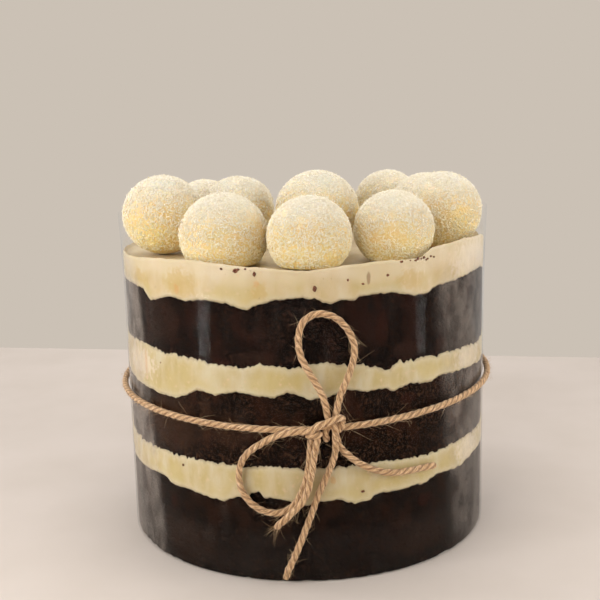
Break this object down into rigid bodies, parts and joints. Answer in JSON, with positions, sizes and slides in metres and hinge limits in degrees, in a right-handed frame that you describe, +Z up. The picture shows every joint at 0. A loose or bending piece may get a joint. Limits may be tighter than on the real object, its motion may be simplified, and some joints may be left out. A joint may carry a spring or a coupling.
{
  "type": "naked layer cake",
  "caption": "Round naked chocolate cake with pale cream layers, a clear film collar, coconut truffles on top and a twine bow.",
  "frame": {"origin": "middle of the cake's flat underside, on the surface that it stands on", "axes": "+Z up; the side with the bow faces -Y; +X is to the right of someone who looks at the bow"},
  "size_m": [0.1565, 0.1618, 0.1476],
  "materials": {
    "sponge": "moist crumbly chocolate sponge, nearly black, with fine holes",
    "cream": "pale yellowish cream, smooth and slightly greasy, with a few crumbs",
    "film": "clear glossy cake film with a little condensation",
    "coconut": "pale yellow truffle rolled in fine white dried coconut",
    "jute": "three-ply natural jute twine with loose fibres"
  },
  "bodies": {
    "root": {"sponge_bottom": "sponge", "sponge_middle": "sponge", "sponge_top": "sponge", "filling_lower": "cream", "filling_upper": "cream", "cream_top": "cream", "acetate_collar": "film", "truffle_01": "coconut", "truffle_02": "coconut", "truffle_03": "coconut", "truffle_04": "coconut", "truffle_05": "coconut", "truffle_06": "coconut", "truffle_07": "coconut", "truffle_08": "coconut", "truffle_09": "coconut", "truffle_10": "coconut", "truffle_11": "coconut", "truffle_12": "coconut", "truffle_13": "coconut", "twine_band": "jute", "twine_knot": "jute", "bow_loop_upper": "jute", "bow_loop_left": "jute", "tail_left": "jute", "tail_down": "jute", "tail_right": "jute"}
  },
  "joints": []
}
